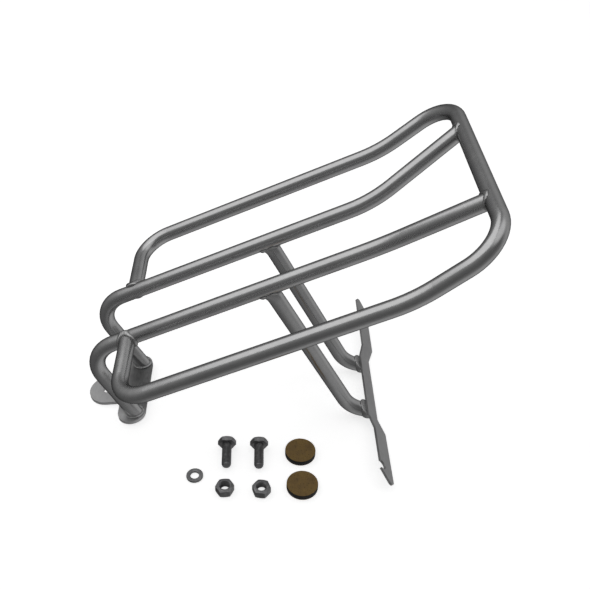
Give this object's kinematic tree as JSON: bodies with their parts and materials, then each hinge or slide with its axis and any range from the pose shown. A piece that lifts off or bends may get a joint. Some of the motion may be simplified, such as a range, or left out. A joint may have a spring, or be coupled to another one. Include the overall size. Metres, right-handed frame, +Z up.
{
  "type": "motorcycle rear rack",
  "caption": "Chrome tube luggage rack for a motorcycle's rear fender, with its tabbed and slotted brackets and loose mounting hardware.",
  "frame": {"origin": "centre of the bounding box, on the bench the rack stands on", "axes": "+X to the rear of the rack, its longest way; +Y to the rider's left; +Z up. The rack stands on its two brackets, so its platform rises to the rear."},
  "size_m": [0.31, 0.23, 0.2411],
  "materials": {
    "chrome_tube": "satin chrome, bright top lines and dark undersides",
    "bracket_steel": "satin plated steel strip",
    "weld_metal": "plated weld bead, rippled",
    "hardware_steel": "dark zinc-plated, satin",
    "pad_rubber": "matt brown face, dark edge"
  },
  "bodies": {
    "rack": {"outer_hoop": "chrome_tube", "inner_rail_left": "chrome_tube", "inner_rail_right": "chrome_tube", "support_leg_left": "chrome_tube", "support_leg_right": "chrome_tube", "front_bracket": "bracket_steel", "rear_bracket": "bracket_steel", "weld_end_bar_left": "weld_metal", "weld_hoop_front_left": "weld_metal", "weld_leg_top_left": "weld_metal", "weld_leg_foot_left": "weld_metal", "weld_rail_foot_left": "weld_metal", "weld_end_bar_right": "weld_metal", "weld_hoop_front_right": "weld_metal", "weld_leg_top_right": "weld_metal", "weld_leg_foot_right": "weld_metal", "weld_rail_foot_right": "weld_metal"},
    "bolt_1": {"bolt_1": "hardware_steel"},
    "bolt_2": {"bolt_2": "hardware_steel"},
    "nut_1": {"nut_1": "hardware_steel"},
    "nut_2": {"nut_2": "hardware_steel"},
    "washer": {"washer": "hardware_steel"},
    "pad_1": {"pad_1": "pad_rubber"},
    "pad_2": {"pad_2": "pad_rubber"}
  },
  "joints": [
    {"name": "bolt_1_lift", "type": "slide", "parent": "rack", "child": "bolt_1", "axis": [0, 0, 1], "range_m": [0, 0.03]},
    {"name": "bolt_2_lift", "type": "slide", "parent": "rack", "child": "bolt_2", "axis": [0, 0, 1], "range_m": [0, 0.03]},
    {"name": "nut_1_lift", "type": "slide", "parent": "rack", "child": "nut_1", "axis": [0, 0, 1], "range_m": [0, 0.03]},
    {"name": "nut_2_lift", "type": "slide", "parent": "rack", "child": "nut_2", "axis": [0, 0, 1], "range_m": [0, 0.03]},
    {"name": "washer_lift", "type": "slide", "parent": "rack", "child": "washer", "axis": [0, 0, 1], "range_m": [0, 0.03]},
    {"name": "pad_1_lift", "type": "slide", "parent": "rack", "child": "pad_1", "axis": [0, 0, 1], "range_m": [0, 0.03]},
    {"name": "pad_2_lift", "type": "slide", "parent": "rack", "child": "pad_2", "axis": [0, 0, 1], "range_m": [0, 0.03]}
  ]
}
